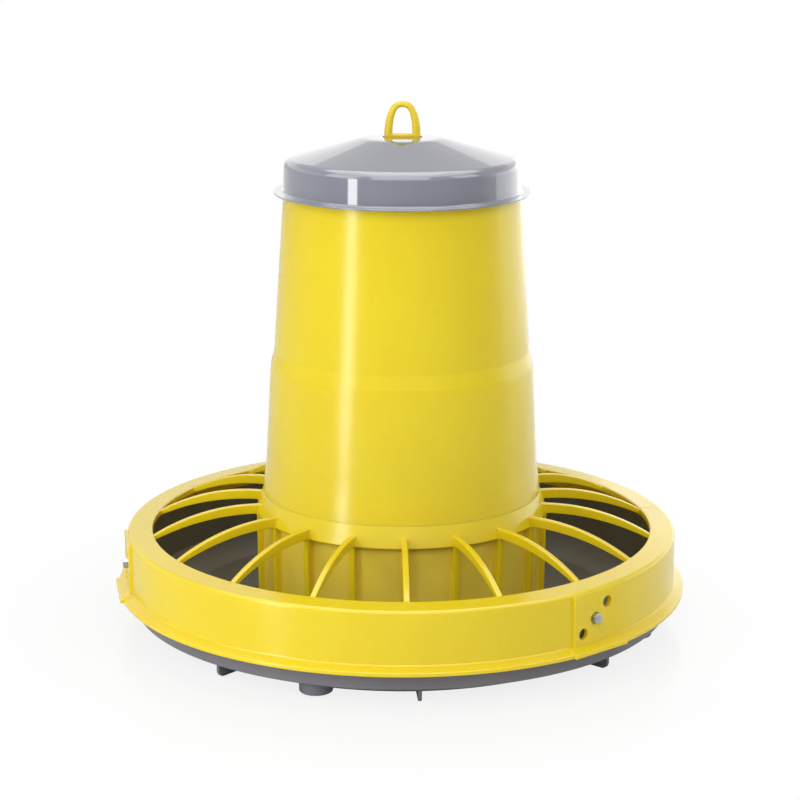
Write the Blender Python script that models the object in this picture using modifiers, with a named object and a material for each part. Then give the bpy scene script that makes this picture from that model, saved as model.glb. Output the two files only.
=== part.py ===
# Poultry feeder: a tube feeder with a barred feeding guard over a round pan.
# Metres, +Z up. The origin is on the ground, under the middle of the pan.
# Angles about Z are counted from the front (-Y) towards +X.

from math import cos, hypot, pi, radians, sin

import bmesh
import bpy
from mathutils import Matrix, Vector

# Fits
TOUCH_GAP = 0.0003
STUD_CLEARANCE = 0.0004
TURN_CLEARANCE = 0.0006
LID_CLEARANCE = 0.0008
SLOT_CLEARANCE = 0.0010
PAN_CLEARANCE = 0.00225

# How far cutters are kept from sharing a face
CUT_OFFSET = 0.0001
CUT_TURN = radians(0.05)

# How finely round pieces are divided
TURN_STEPS = 60
STUD_STEPS = 20
ARC_STEP = radians(6.0)

# Guard rim
RIM_RADIUS = 0.2415
RIM_WIDTH = 0.0222
RIM_HEIGHT = 0.0515
RIM_CROWN = 0.0010
RIM_CORNER = 0.0035
RIM_DRAFT = 0.0004
GUARD_WALL = 0.0030
FLANGE_REACH = 0.0085
FLANGE_EDGE = 0.0035
FLANGE_RISE = 0.0032

# Guard bars, collar and skirt
BAR_COUNT = 18
BAR_THICKNESS = 0.0050
BAR_DEPTH_INSIDE = 0.0085
BAR_DEPTH_OUTSIDE = 0.0047
BAR_FLAT = 0.0080
COLLAR_LIFT = 0.0327
COLLAR_HEIGHT = 0.0187
COLLAR_FLARE = 0.0062
BAR_TOP_DROP = 0.0092
SKIRT_WALL = 0.0025
POST_REACH = 0.0070
POST_CHAMFER = 0.0055
POST_DRAFT = 0.0008
BAR_ROOT = 0.0020
FEED_GAP = 0.0147

# Pan
PAN_WALL = 0.0030
PAN_EDGE_HEIGHT = 0.0147
PAN_WALL_HEIGHT = 0.0480
PAN_SLOPE_WIDTH = 0.0343
PAN_CONE_RADIUS = 0.1080
PAN_CONE_HEIGHT = 0.0525
PAN_SUNK = 0.0012
FLANGE_LIFT = 0.0155

# Under the pan's sloping edge, fins that end level with its floor, and round feet midway between them
FIN_COUNT = 8
FIN_ANGLE = radians(2.7)
FIN_THICKNESS = 0.0030
FIN_RADIUS = 0.2285
FIN_CORNER = 0.0090
FIN_RISE = 0.0002
FOOT_COUNT = 4
FOOT_RADIUS = 0.0138
FOOT_CIRCLE = 0.2142
FOOT_RISE = 0.0012

# Setting studs and the three plates they pass through
STUD_COUNT = 3
STUD_ANGLE = radians(39.4)
STUD_HEIGHT = 0.0268
SETTING_RISE = 0.0111
SETTING_STEP = 0.0133
PLATE_WIDTH = 0.0430
PLATE_PROUD = 0.0009
PLATE_RIDGE = 0.0025
PLATE_RIDGE_PROUD = 0.0005
PAD_WIDTH = 0.0590
PAD_REACH = 0.0012
BUSH_RADIUS = 0.0044
SHANK_RADIUS = 0.0025
HEAD_FLATS = 0.0080
HEAD_HEIGHT = 0.0040
NUT_HEIGHT = 0.0040
WASHER_RADIUS = 0.0050
WASHER_THICKNESS = 0.0010
THREAD_END = 0.0016

# Hopper
HOPPER_WALL = 0.0025
HOPPER_BASE_RADIUS = 0.1221
HOPPER_FLARE = 0.0036
HOPPER_FLARE_HEIGHT = 0.0283
WAIST_RADIUS = 0.1143
WAIST_HEIGHT = 0.1095
WAIST_STEP = 0.0035
WAIST_STEP_HEIGHT = 0.0160
HOPPER_TOP_RADIUS = 0.1018
HOPPER_HEIGHT = 0.2615
NECK_SETBACK = 0.0036
NECK_HEIGHT = 0.0200
SPIGOT_DEPTH = 0.0200
SPIGOT_SETBACK = 0.00345
HOPPER_EDGE = 0.0005

# Bayonet between hopper and collar
LUG_COUNT = 3
LUG_REACH = 0.0020
LUG_HEIGHT = 0.0076
LUG_SPREAD = radians(18.0)
LUG_DROP = 0.0082
TWIST_RANGE = radians(26.0)
TWIST_SLACK = radians(0.6)

# Lid
LID_WALL = 0.0022
LID_WALL_HEIGHT = 0.0228
LID_SHOULDER = 0.0060
LID_SHOULDER_RISE = 0.0076
LID_CONE_RISE = 0.0202
LID_FLAT_RADIUS = 0.0211
LID_DRAFT = 0.0006
BRIM_REACH = 0.0090
BRIM_THICKNESS = 0.0013
BRIM_FILLET = 0.0022

# Hanger
YOKE_DEPTH = 0.0090
YOKE_BAR_HEIGHT = 0.0070
YOKE_BAR_LIFT = 0.0072
NECK_WIDTH = 0.0300
NECK_PROUD = 0.0024
LOOP_HALF_WIDTH = 0.0156
LOOP_HEIGHT = 0.0269
LOOP_THICKNESS = 0.0072
LOOP_CROWN_SHARE = 0.72
LOOP_SQUARENESS = 2.6

# Where the pieces stand, from the ground up
PAN_FLOOR_TOP = PAN_WALL
PAN_WALL_TOP = PAN_EDGE_HEIGHT + PAN_WALL_HEIGHT
FLANGE_BOTTOM = PAN_EDGE_HEIGHT + FLANGE_LIFT
RIM_TOP = FLANGE_BOTTOM + RIM_HEIGHT
COLLAR_TOP = RIM_TOP + COLLAR_LIFT
COLLAR_BOTTOM = COLLAR_TOP - COLLAR_HEIGHT
SKIRT_BOTTOM = PAN_FLOOR_TOP + FEED_GAP
STUD_Z = FLANGE_BOTTOM + STUD_HEIGHT
HOPPER_BOTTOM = COLLAR_TOP + TOUCH_GAP
HOPPER_TOP = HOPPER_BOTTOM + HOPPER_HEIGHT
NECK_TOP = HOPPER_TOP + NECK_HEIGHT
LID_BOTTOM = HOPPER_TOP + TOUCH_GAP

# Radii that follow from their neighbours
FLANGE_RADIUS = RIM_RADIUS + FLANGE_REACH
RIM_INNER_RADIUS = RIM_RADIUS - RIM_WIDTH
PAN_RADIUS = RIM_RADIUS - GUARD_WALL - PAN_CLEARANCE
PAN_INNER_RADIUS = PAN_RADIUS - PAN_WALL
PAN_SLOPE_RADIUS = PAN_RADIUS - PAN_SLOPE_WIDTH
SPIGOT_RADIUS = HOPPER_BASE_RADIUS - SPIGOT_SETBACK
SKIRT_INNER_RADIUS = SPIGOT_RADIUS + TURN_CLEARANCE
SKIRT_RADIUS = SKIRT_INNER_RADIUS + SKIRT_WALL
COLLAR_BASE_RADIUS = HOPPER_BASE_RADIUS + COLLAR_FLARE
NECK_RADIUS = HOPPER_TOP_RADIUS - NECK_SETBACK
NECK_INNER_RADIUS = NECK_RADIUS - HOPPER_WALL
LID_INNER_RADIUS = NECK_RADIUS + LID_CLEARANCE
LID_RADIUS = LID_INNER_RADIUS + LID_WALL
PLATE_FACE = RIM_RADIUS + PLATE_PROUD


def make_collection(name):
    collection = bpy.data.collections.new(name)
    bpy.context.scene.collection.children.link(collection)
    return collection


def make_material(name, color, roughness, metallic=0.0):
    material = bpy.data.materials.new(name)
    material.use_nodes = True
    shader = material.node_tree.nodes["Principled BSDF"]
    shader.inputs["Base Color"].default_value = (*color, 1.0)
    shader.inputs["Roughness"].default_value = roughness
    shader.inputs["Metallic"].default_value = metallic
    return material


def add_part(name, mesh, material):
    part = bpy.data.objects.new(name, mesh)
    mesh.materials.append(material)
    parts.objects.link(part)
    return part


def add_cutter(name, mesh):
    cutter = bpy.data.objects.new(name, mesh)
    cutter.hide_render = True
    cutter.display_type = "WIRE"
    cutters.objects.link(cutter)
    return cutter


def combine(target, other, operation):
    change = target.modifiers.new(other.name, "BOOLEAN")
    change.operation = operation
    change.solver = "EXACT"
    change.object = other


def mesh_from_bmesh(name, work):
    mesh = bpy.data.meshes.new(name)
    work.to_mesh(mesh)
    work.free()
    return mesh


def smooth(part, angle=radians(32.0)):
    part.data.shade_smooth()
    part.data.set_sharp_from_angle(angle=angle)


def profile_mesh(name, profiles, closed=True):
    """Edges only: each profile is a list of (radius, height), down its outer side."""
    points = []
    edges = []
    for profile in profiles:
        first = len(points)
        points += [(radius, 0.0, height) for radius, height in profile]
        edges += [(first + i, first + i + 1) for i in range(len(profile) - 1)]
        if closed:
            edges.append((first + len(profile) - 1, first))
    mesh = bpy.data.meshes.new(name)
    mesh.from_pydata(points, edges, [])
    return mesh


def turn(part, steps=TURN_STEPS):
    screw = part.modifiers.new("turn", "SCREW")
    screw.angle = 2.0 * pi
    screw.steps = steps
    screw.render_steps = steps
    screw.use_merge_vertices = True
    screw.merge_threshold = 0.00005
    screw.use_smooth_shade = True


def outline_mesh(name, outline, thickness):
    """A flat outline of (x, z) points, thickness deep along Y about y = 0."""
    curve = bpy.data.curves.new(name, "CURVE")
    curve.dimensions = "2D"
    curve.fill_mode = "BOTH"
    curve.extrude = thickness / 2.0
    spline = curve.splines.new("POLY")
    spline.points.add(len(outline) - 1)
    for point, (x, z) in zip(spline.points, outline):
        point.co = (x, z, 0.0, 1.0)
    spline.use_cyclic_u = True
    return mesh_from_curve(name, curve, Matrix.Rotation(pi / 2.0, 4, "X"))


def mesh_from_curve(name, curve, placing):
    """The curve as a welded mesh, moved by placing; the curve is removed."""
    guide = bpy.data.objects.new(name + "_guide", curve)
    cutters.objects.link(guide)
    bpy.context.view_layer.update()
    seen = guide.evaluated_get(bpy.context.evaluated_depsgraph_get())
    mesh = bpy.data.meshes.new_from_object(seen)
    bpy.data.objects.remove(guide)
    bpy.data.curves.remove(curve)
    work = bmesh.new()
    work.from_mesh(mesh)
    bpy.data.meshes.remove(mesh)
    bmesh.ops.remove_doubles(work, verts=work.verts, dist=0.000005)
    bmesh.ops.transform(work, matrix=placing, verts=work.verts)
    bmesh.ops.recalc_face_normals(work, faces=work.faces)
    return mesh_from_bmesh(name, work)


def facing(angle):
    """Turns +X to the direction at this angle from the front."""
    return Matrix.Rotation(angle - pi / 2.0, 4, "Z")


def repeat_mesh(name, mesh, placings):
    """One mesh that holds a copy at each placing."""
    work = bmesh.new()
    for placing in placings:
        before = len(work.verts)
        work.from_mesh(mesh)
        work.verts.ensure_lookup_table()
        bmesh.ops.transform(work, matrix=placing, verts=work.verts[before:])
    bpy.data.meshes.remove(mesh)
    return mesh_from_bmesh(name, work)


def arc_band_mesh(name, inner, outer, bottom, top, start, end):
    """A block between two radii and two heights, from start to end about Z, facing +X at 0."""
    count = max(2, round((end - start) / ARC_STEP) + 1)
    angles = [start + (end - start) * i / (count - 1) for i in range(count)]
    outline = [(outer * cos(a), outer * sin(a)) for a in angles]
    outline += [(inner * cos(a), inner * sin(a)) for a in reversed(angles)]
    mesh = outline_mesh(name, outline, top - bottom)
    lay_flat = Matrix.Translation((0.0, 0.0, (bottom + top) / 2.0)) @ Matrix.Rotation(-pi / 2.0, 4, "X")
    mesh.transform(lay_flat)
    return mesh


def rod_mesh(name, radius, start, end, steps=STUD_STEPS):
    """A rod along X from start to end."""
    work = bmesh.new()
    bmesh.ops.create_cone(work, cap_ends=True, segments=steps, radius1=radius, radius2=radius,
                          depth=end - start)
    along_x = Matrix.Translation(((start + end) / 2.0, 0.0, 0.0)) @ Matrix.Rotation(pi / 2.0, 4, "Y")
    bmesh.ops.transform(work, matrix=along_x, verts=work.verts)
    return mesh_from_bmesh(name, work)


def box_mesh(name, low, high):
    work = bmesh.new()
    bmesh.ops.create_cube(work, size=1.0)
    low = Vector(low)
    high = Vector(high)
    size = high - low
    bmesh.ops.scale(work, vec=size, verts=work.verts)
    bmesh.ops.translate(work, vec=(low + high) / 2.0, verts=work.verts)
    return mesh_from_bmesh(name, work)


def crest_arc(crest, end, count):
    """Points of the circle that is level at crest and passes through end."""
    run = end[0] - crest[0]
    drop = crest[1] - end[1]
    radius = (run * run + drop * drop) / (2.0 * drop)
    points = []
    for i in range(count + 1):
        across = run * i / count
        points.append((crest[0] + across, crest[1] - radius + (radius * radius - across * across) ** 0.5))
    return points


# Pan

def pan_slope_height(radius):
    """Height of the pan's underside, flat inside and sloping up to its edge."""
    return max(0.0, radius - PAN_SLOPE_RADIUS) / PAN_SLOPE_WIDTH * PAN_EDGE_HEIGHT


def pan_profile():
    cone_top = PAN_FLOOR_TOP + PAN_CONE_HEIGHT
    cone_wall = PAN_WALL * hypot(PAN_CONE_RADIUS, PAN_CONE_HEIGHT) / PAN_CONE_RADIUS
    tip_radius = PAN_CONE_RADIUS * 0.12
    tip_drop = PAN_CONE_HEIGHT * 0.07
    slope_top = PAN_EDGE_HEIGHT + PAN_WALL
    top_side = [
        (0.0, cone_top - tip_drop * 0.35),
        (tip_radius * 0.6, cone_top - tip_drop * 0.75),
        (tip_radius * 1.4, cone_top - PAN_CONE_HEIGHT * 0.17),
        (PAN_CONE_RADIUS * 0.94, PAN_FLOOR_TOP + PAN_CONE_HEIGHT * 0.035),
        (PAN_CONE_RADIUS, PAN_FLOOR_TOP),
        (PAN_SLOPE_RADIUS - PAN_WALL * 0.2, PAN_FLOOR_TOP),
        (PAN_INNER_RADIUS - PAN_WALL * 0.8, slope_top),
        (PAN_INNER_RADIUS, slope_top + PAN_WALL),
        (PAN_INNER_RADIUS, PAN_WALL_TOP - PAN_WALL * 0.2),
        (PAN_INNER_RADIUS + PAN_WALL * 0.2, PAN_WALL_TOP),
        (PAN_RADIUS - PAN_WALL * 0.2, PAN_WALL_TOP),
        (PAN_RADIUS, PAN_WALL_TOP - PAN_WALL * 0.2),
        (PAN_RADIUS, PAN_EDGE_HEIGHT + PAN_WALL * 0.3),
        (PAN_RADIUS - PAN_WALL * 0.3, PAN_EDGE_HEIGHT),
    ]
    underside = [
        (PAN_SLOPE_RADIUS, 0.0),
        (PAN_CONE_RADIUS - PAN_WALL, 0.0),
        (PAN_CONE_RADIUS * 0.92, PAN_CONE_HEIGHT * 0.035),
        (tip_radius * 1.3, cone_top - PAN_CONE_HEIGHT * 0.17 - cone_wall),
        (0.0, cone_top - tip_drop - cone_wall),
    ]
    return top_side + underside


def foot_mesh():
    """A round foot at +X, its top sunk a little into the pan's sloping underside."""
    top = pan_slope_height(FOOT_CIRCLE)
    middle = (FOOT_RISE + top) / 2.0
    work = bmesh.new()
    bmesh.ops.create_cone(work, cap_ends=True, segments=28, radius1=FOOT_RADIUS, radius2=FOOT_RADIUS,
                          depth=top - FOOT_RISE)
    bmesh.ops.translate(work, vec=(FOOT_CIRCLE, 0.0, middle), verts=work.verts)
    for corner in work.verts:
        if corner.co.z > middle:
            corner.co.z = pan_slope_height(hypot(corner.co.x, corner.co.y)) + PAN_SUNK
    bmesh.ops.triangulate(work, faces=work.faces)
    return mesh_from_bmesh("foot", work)


def fin_mesh():
    """A thin radial fin under the pan's slope, in the XZ plane, its outer corner rounded."""
    outline = [(PAN_SLOPE_RADIUS, FIN_RISE)]
    corner_steps = 6
    for i in range(corner_steps + 1):
        angle = pi / 2.0 * i / corner_steps
        inward = FIN_CORNER * (1.0 - sin(angle))
        up = FIN_CORNER * (1.0 - cos(angle))
        outline.append((FIN_RADIUS - inward, FIN_RISE + up))
    outline.append((FIN_RADIUS, pan_slope_height(FIN_RADIUS) + PAN_SUNK))
    outline.append((PAN_SLOPE_RADIUS, PAN_SUNK))
    return outline_mesh("fin", outline, FIN_THICKNESS)


def make_pan(material):
    pan = add_part("feed_pan", profile_mesh("feed_pan", [pan_profile()], closed=False), material)
    turn(pan)
    fin_step = 2.0 * pi / FIN_COUNT
    fin_placings = [facing(FIN_ANGLE + fin_step * i) for i in range(FIN_COUNT)]
    combine(pan, add_cutter("fins", repeat_mesh("fins", fin_mesh(), fin_placings)), "UNION")
    first_foot = FIN_ANGLE - fin_step / 2.0
    foot_placings = [facing(first_foot + 2.0 * pi * i / FOOT_COUNT) for i in range(FOOT_COUNT)]
    combine(pan, add_cutter("feet", repeat_mesh("feet", foot_mesh(), foot_placings)), "UNION")
    bore = rod_mesh("stud_bores", SHANK_RADIUS + TOUCH_GAP, PAN_INNER_RADIUS - PAN_WALL,
                    PAN_RADIUS + PAN_WALL)
    bores = repeat_mesh("stud_bores", bore, [stud_placing(i) for i in range(STUD_COUNT)])
    combine(pan, add_cutter("stud_bores", bores), "DIFFERENCE")


# Guard

def rim_profile():
    inner_wall = RIM_RADIUS - GUARD_WALL
    plate_bottom = RIM_TOP - GUARD_WALL
    lip = GUARD_WALL * 0.5
    return [
        (RIM_INNER_RADIUS + lip, RIM_TOP + RIM_CROWN),
        (RIM_RADIUS - RIM_CORNER, RIM_TOP),
        (RIM_RADIUS - RIM_CORNER * 0.35, RIM_TOP - RIM_CORNER * 0.25),
        (RIM_RADIUS - RIM_DRAFT, RIM_TOP - RIM_CORNER),
        (RIM_RADIUS, FLANGE_BOTTOM + FLANGE_EDGE + FLANGE_RISE),
        (FLANGE_RADIUS - FLANGE_EDGE * 0.2, FLANGE_BOTTOM + FLANGE_EDGE),
        (FLANGE_RADIUS, FLANGE_BOTTOM + FLANGE_EDGE * 0.75),
        (FLANGE_RADIUS, FLANGE_BOTTOM),
        (inner_wall, FLANGE_BOTTOM),
        (inner_wall, plate_bottom),
        (RIM_INNER_RADIUS + lip, plate_bottom),
        (RIM_INNER_RADIUS + lip, plate_bottom - lip),
        (RIM_INNER_RADIUS, plate_bottom - lip),
        (RIM_INNER_RADIUS, RIM_TOP + RIM_CROWN - lip * 0.4),
    ]


def skirt_profile():
    return [
        (HOPPER_BASE_RADIUS, COLLAR_TOP),
        (COLLAR_BASE_RADIUS, COLLAR_BOTTOM + SKIRT_WALL * 0.3),
        (COLLAR_BASE_RADIUS - SKIRT_WALL * 0.4, COLLAR_BOTTOM),
        (SKIRT_RADIUS, COLLAR_BOTTOM),
        (SKIRT_RADIUS, SKIRT_BOTTOM),
        (SKIRT_INNER_RADIUS, SKIRT_BOTTOM),
        (SKIRT_INNER_RADIUS, COLLAR_TOP),
    ]


def bar_outline():
    """One arched bar and the post under its inner end, as (radius, height)."""
    sunk = GUARD_WALL * 0.5
    bar_top = COLLAR_TOP - BAR_TOP_DROP
    crest_radius = COLLAR_BASE_RADIUS + BAR_FLAT * 0.6
    post_radius = SKIRT_RADIUS + POST_REACH
    post_end = SKIRT_BOTTOM + POST_CHAMFER + POST_DRAFT
    rim_end = (RIM_INNER_RADIUS, RIM_TOP + RIM_CROWN - sunk * 0.5)
    upper = crest_arc((crest_radius, bar_top), rim_end, 8)
    lower_crest = (crest_radius, bar_top - BAR_DEPTH_INSIDE)
    lower_end = (RIM_INNER_RADIUS, rim_end[1] - BAR_DEPTH_OUTSIDE)
    lower = crest_arc(lower_crest, lower_end, 6)
    under_rim = [
        (RIM_RADIUS - sunk, RIM_TOP - sunk),
        (RIM_RADIUS - sunk, lower_end[1]),
    ]
    post = [
        (post_radius, lower_crest[1]),
        (post_radius - POST_DRAFT, post_end),
        (SKIRT_RADIUS + POST_DRAFT, post_end - POST_CHAMFER),
        (SKIRT_RADIUS - SKIRT_WALL * 0.5, post_end - POST_CHAMFER),
        (SKIRT_RADIUS - SKIRT_WALL * 0.5, COLLAR_BOTTOM + SKIRT_WALL * 0.4),
        (HOPPER_BASE_RADIUS + BAR_ROOT, COLLAR_BOTTOM + SKIRT_WALL * 1.4),
        (HOPPER_BASE_RADIUS + BAR_ROOT, bar_top),
    ]
    return upper + under_rim + list(reversed(lower)) + post


def plate_mesh():
    """Flat plate and its ridge on the outside of the rim, at +X."""
    low_z = FLANGE_BOTTOM + FLANGE_EDGE
    high_z = RIM_TOP - RIM_CORNER * 0.6
    inside = RIM_RADIUS - GUARD_WALL * 0.8
    half = PLATE_WIDTH / 2.0
    plate = [
        (inside, -half - PLATE_RIDGE),
        (PLATE_FACE + PLATE_RIDGE_PROUD, -half - PLATE_RIDGE),
        (PLATE_FACE + PLATE_RIDGE_PROUD, -half),
        (PLATE_FACE, -half),
        (PLATE_FACE, half),
        (inside, half),
    ]
    mesh = outline_mesh("plate", plate, high_z - low_z)
    stand = Matrix.Translation((0.0, 0.0, (low_z + high_z) / 2.0)) @ Matrix.Rotation(-pi / 2.0, 4, "X")
    mesh.transform(stand)
    return mesh


def pad_mesh():
    """The straight stretch of the flange below a plate, at +X."""
    inside = RIM_RADIUS - GUARD_WALL * 0.8
    low_z = FLANGE_BOTTOM + CUT_OFFSET
    edge_z = FLANGE_BOTTOM + FLANGE_EDGE
    reach = FLANGE_RADIUS + PAD_REACH
    outline = [
        (inside, low_z),
        (reach, low_z),
        (reach, edge_z - FLANGE_EDGE * 0.25),
        (reach - FLANGE_EDGE * 0.2, edge_z),
        (PLATE_FACE, edge_z + FLANGE_RISE),
        (inside, edge_z + FLANGE_RISE),
    ]
    return outline_mesh("pad", outline, PAD_WIDTH)


def setting_bores_mesh():
    """The three holes of one plate, stepping up the way the guard is turned, at +X."""
    placings = []
    for setting in (-1, 0, 1):
        placings.append(Matrix.Translation((0.0, setting * SETTING_STEP, STUD_Z + setting * SETTING_RISE)))
    bore = rod_mesh("setting_bore", BUSH_RADIUS + STUD_CLEARANCE, RIM_RADIUS - GUARD_WALL * 2.0,
                    RIM_RADIUS + GUARD_WALL * 2.0)
    return repeat_mesh("setting_bores", bore, placings)


def bayonet_groove_mesh():
    """One groove inside the collar: a run for the lug and its way in from above, at +X."""
    lug_top = HOPPER_BOTTOM - LUG_DROP
    half = LUG_SPREAD / 2.0 + TWIST_SLACK
    reach = SPIGOT_RADIUS + LUG_REACH + TURN_CLEARANCE
    inner = SKIRT_INNER_RADIUS - SKIRT_WALL
    run = arc_band_mesh("groove_run", inner, reach, lug_top - LUG_HEIGHT - TURN_CLEARANCE,
                        lug_top + TURN_CLEARANCE, -half, TWIST_RANGE + half)
    way_in = arc_band_mesh("groove_way_in", inner, reach - CUT_OFFSET, lug_top - LUG_HEIGHT / 2.0,
                           COLLAR_TOP + SKIRT_WALL, TWIST_RANGE - half, TWIST_RANGE + half - CUT_TURN)
    return run, way_in


def make_guard(material):
    profiles = profile_mesh("guard_grid", [rim_profile(), skirt_profile()])
    guard = add_part("guard_grid", profiles, material)
    turn(guard)
    bar = outline_mesh("bar", bar_outline(), BAR_THICKNESS)
    bars = repeat_mesh("bars", bar, [facing(2.0 * pi * i / BAR_COUNT) for i in range(BAR_COUNT)])
    combine(guard, add_cutter("bars", bars), "UNION")
    studs = [stud_placing(i, 0.0) for i in range(STUD_COUNT)]
    combine(guard, add_cutter("plates", repeat_mesh("plates", plate_mesh(), studs)), "UNION")
    combine(guard, add_cutter("pads", repeat_mesh("pads", pad_mesh(), studs)), "UNION")
    bores = repeat_mesh("setting_bores", setting_bores_mesh(), studs)
    combine(guard, add_cutter("setting_bores", bores), "DIFFERENCE")
    lugs = [Matrix.Rotation(2.0 * pi * i / LUG_COUNT, 4, "Z") for i in range(LUG_COUNT)]
    for cut in bayonet_groove_mesh():
        name = cut.name
        combine(guard, add_cutter(name, repeat_mesh(name, cut, lugs)), "DIFFERENCE")


# Setting studs

def stud_placing(index, height=STUD_Z):
    """Turns a stud modelled along +X to its place, at this height."""
    angle = STUD_ANGLE + 2.0 * pi * index / STUD_COUNT
    return Matrix.Translation((0.0, 0.0, height)) @ facing(angle)


def pierced_rod_mesh(name, radius, start, end, steps=STUD_STEPS):
    """A rod along X with a running bore for the bolt's shank, as one closed tube."""
    bore = SHANK_RADIUS + TOUCH_GAP
    work = bmesh.new()
    rings = []
    for x, ring_radius in ((start, radius), (end, radius), (end, bore), (start, bore)):
        ring = []
        for i in range(steps):
            angle = 2.0 * pi * i / steps
            ring.append(work.verts.new((x, ring_radius * cos(angle), ring_radius * sin(angle))))
        rings.append(ring)
    for ring, following in zip(rings, rings[1:] + rings[:1]):
        for i in range(steps):
            j = (i + 1) % steps
            work.faces.new((ring[i], ring[j], following[j], following[i]))
    bmesh.ops.recalc_face_normals(work, faces=work.faces)
    return mesh_from_bmesh(name, work)


def make_studs(steel):
    washer_face = PAN_INNER_RADIUS * cos(pi / TURN_STEPS) - TOUCH_GAP
    nut_face = washer_face - WASHER_THICKNESS - TOUCH_GAP
    bush_start = PAN_RADIUS + TOUCH_GAP
    bush_end = PLATE_FACE - TOUCH_GAP
    head_start = PLATE_FACE
    head_radius = HEAD_FLATS / 2.0 / cos(pi / 6.0)
    bush = pierced_rod_mesh("setting_bush", BUSH_RADIUS, bush_start, bush_end)
    washer = pierced_rod_mesh("setting_washer", WASHER_RADIUS, washer_face - WASHER_THICKNESS, washer_face)
    shank = rod_mesh("shank", SHANK_RADIUS, nut_face - NUT_HEIGHT - THREAD_END, head_start + HEAD_HEIGHT / 2.0)
    head = rod_mesh("head", head_radius, head_start, head_start + HEAD_HEIGHT, 6)
    nut = rod_mesh("nut", head_radius, nut_face - NUT_HEIGHT, nut_face, 6)
    nut_bore = rod_mesh("nut_bore", SHANK_RADIUS + TOUCH_GAP, nut_face - NUT_HEIGHT * 2.0,
                        nut_face + NUT_HEIGHT)
    for i in range(STUD_COUNT):
        placing = stud_placing(i)
        number = str(i + 1)
        for name, mesh in (("setting_bush_", bush), ("setting_washer_", washer)):
            piece = add_part(name + number, mesh.copy(), steel)
            piece.matrix_world = placing
            smooth(piece)
        bolt = add_part("setting_bolt_" + number, head.copy(), steel)
        bolt.matrix_world = placing
        bolt_shank = add_cutter("bolt_shank_" + number, shank)
        bolt_shank.matrix_world = placing
        combine(bolt, bolt_shank, "UNION")
        nut_piece = add_part("setting_nut_" + number, nut.copy(), steel)
        nut_piece.matrix_world = placing
        bore = add_cutter("nut_bore_" + number, nut_bore)
        bore.matrix_world = placing
        combine(nut_piece, bore, "DIFFERENCE")


# Hopper

def hopper_profile():
    step_share = 0.25
    waist_foot = HOPPER_BOTTOM + WAIST_HEIGHT
    waist_head = waist_foot + WAIST_STEP_HEIGHT
    step_foot = waist_foot + WAIST_STEP_HEIGHT * step_share
    above_waist = WAIST_RADIUS - WAIST_STEP
    flare_radius = HOPPER_BASE_RADIUS - HOPPER_FLARE
    flare_height = HOPPER_BOTTOM + HOPPER_FLARE_HEIGHT
    outside = [
        (NECK_RADIUS, NECK_TOP),
        (NECK_RADIUS, HOPPER_TOP),
        (HOPPER_TOP_RADIUS, HOPPER_TOP),
        (above_waist, waist_head),
        (WAIST_RADIUS - HOPPER_EDGE, step_foot),
        (WAIST_RADIUS, waist_foot),
        (flare_radius, flare_height),
        (HOPPER_BASE_RADIUS, HOPPER_BOTTOM + HOPPER_EDGE),
        (HOPPER_BASE_RADIUS - HOPPER_EDGE, HOPPER_BOTTOM),
        (SPIGOT_RADIUS, HOPPER_BOTTOM),
        (SPIGOT_RADIUS, HOPPER_BOTTOM - SPIGOT_DEPTH),
    ]
    inside = [
        (SPIGOT_RADIUS - HOPPER_WALL, HOPPER_BOTTOM - SPIGOT_DEPTH),
        (SPIGOT_RADIUS - HOPPER_WALL, HOPPER_BOTTOM + HOPPER_WALL),
        (flare_radius - HOPPER_WALL, flare_height),
        (WAIST_RADIUS - HOPPER_WALL, waist_foot),
        (above_waist - HOPPER_WALL, waist_head),
        (HOPPER_TOP_RADIUS - HOPPER_WALL, HOPPER_TOP - HOPPER_WALL),
        (NECK_INNER_RADIUS, HOPPER_TOP - HOPPER_WALL),
        (NECK_INNER_RADIUS, NECK_TOP),
    ]
    return outside + inside


def make_hopper(material):
    hopper = add_part("hopper", profile_mesh("hopper", [hopper_profile()]), material)
    turn(hopper)
    lug_top = HOPPER_BOTTOM - LUG_DROP
    lug = arc_band_mesh("lug", SPIGOT_RADIUS - HOPPER_WALL * 0.5, SPIGOT_RADIUS + LUG_REACH,
                        lug_top - LUG_HEIGHT, lug_top, -LUG_SPREAD / 2.0, LUG_SPREAD / 2.0)
    lugs = [Matrix.Rotation(2.0 * pi * i / LUG_COUNT, 4, "Z") for i in range(LUG_COUNT)]
    combine(hopper, add_cutter("lugs", repeat_mesh("lugs", lug, lugs)), "UNION")
    bar_bottom, bar_top = yoke_bar_heights()
    half_depth = YOKE_DEPTH / 2.0 + TOUCH_GAP
    outside = NECK_RADIUS + HOPPER_WALL
    window = box_mesh("window", (-outside, -half_depth, bar_bottom - TOUCH_GAP),
                      (outside, half_depth, bar_top + TOUCH_GAP))
    combine(hopper, add_cutter("hanger_windows", window), "DIFFERENCE")


# Lid

def lid_heights():
    wall_top = LID_BOTTOM + LID_WALL_HEIGHT
    shoulder_top = wall_top + LID_SHOULDER_RISE
    return wall_top, shoulder_top, shoulder_top + LID_CONE_RISE


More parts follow.
